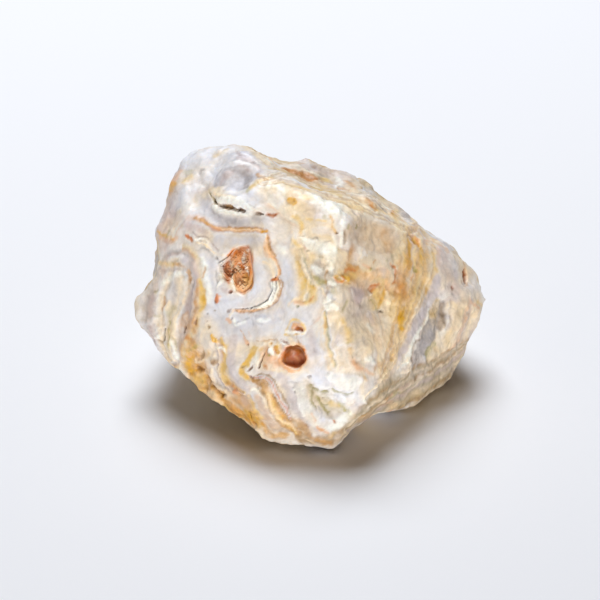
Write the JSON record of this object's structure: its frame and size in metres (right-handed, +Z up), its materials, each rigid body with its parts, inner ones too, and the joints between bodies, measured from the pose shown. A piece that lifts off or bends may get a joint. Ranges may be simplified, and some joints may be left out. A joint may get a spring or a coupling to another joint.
{
  "type": "rough banded agate",
  "caption": "Rough lump of banded agate with fractured faces, a crystal-lined hollow and a flat spot to rest on.",
  "frame": {"origin": "middle of the stone's box on the surface that it rests on", "axes": "+Z up, +X to the right along the longest side, and the banded face leans back facing -Y"},
  "size_m": [0.071, 0.0572, 0.0478],
  "materials": {
    "agate": "broken chalcedony, satin to waxy, banded white, lavender grey, cream, ochre and orange brown, with chalky patches",
    "druse": "crust of small glossy quartz crystals stained rust orange, a few of them white"
  },
  "bodies": {
    "root": {"agate": "agate", "druse": "druse"}
  },
  "joints": []
}
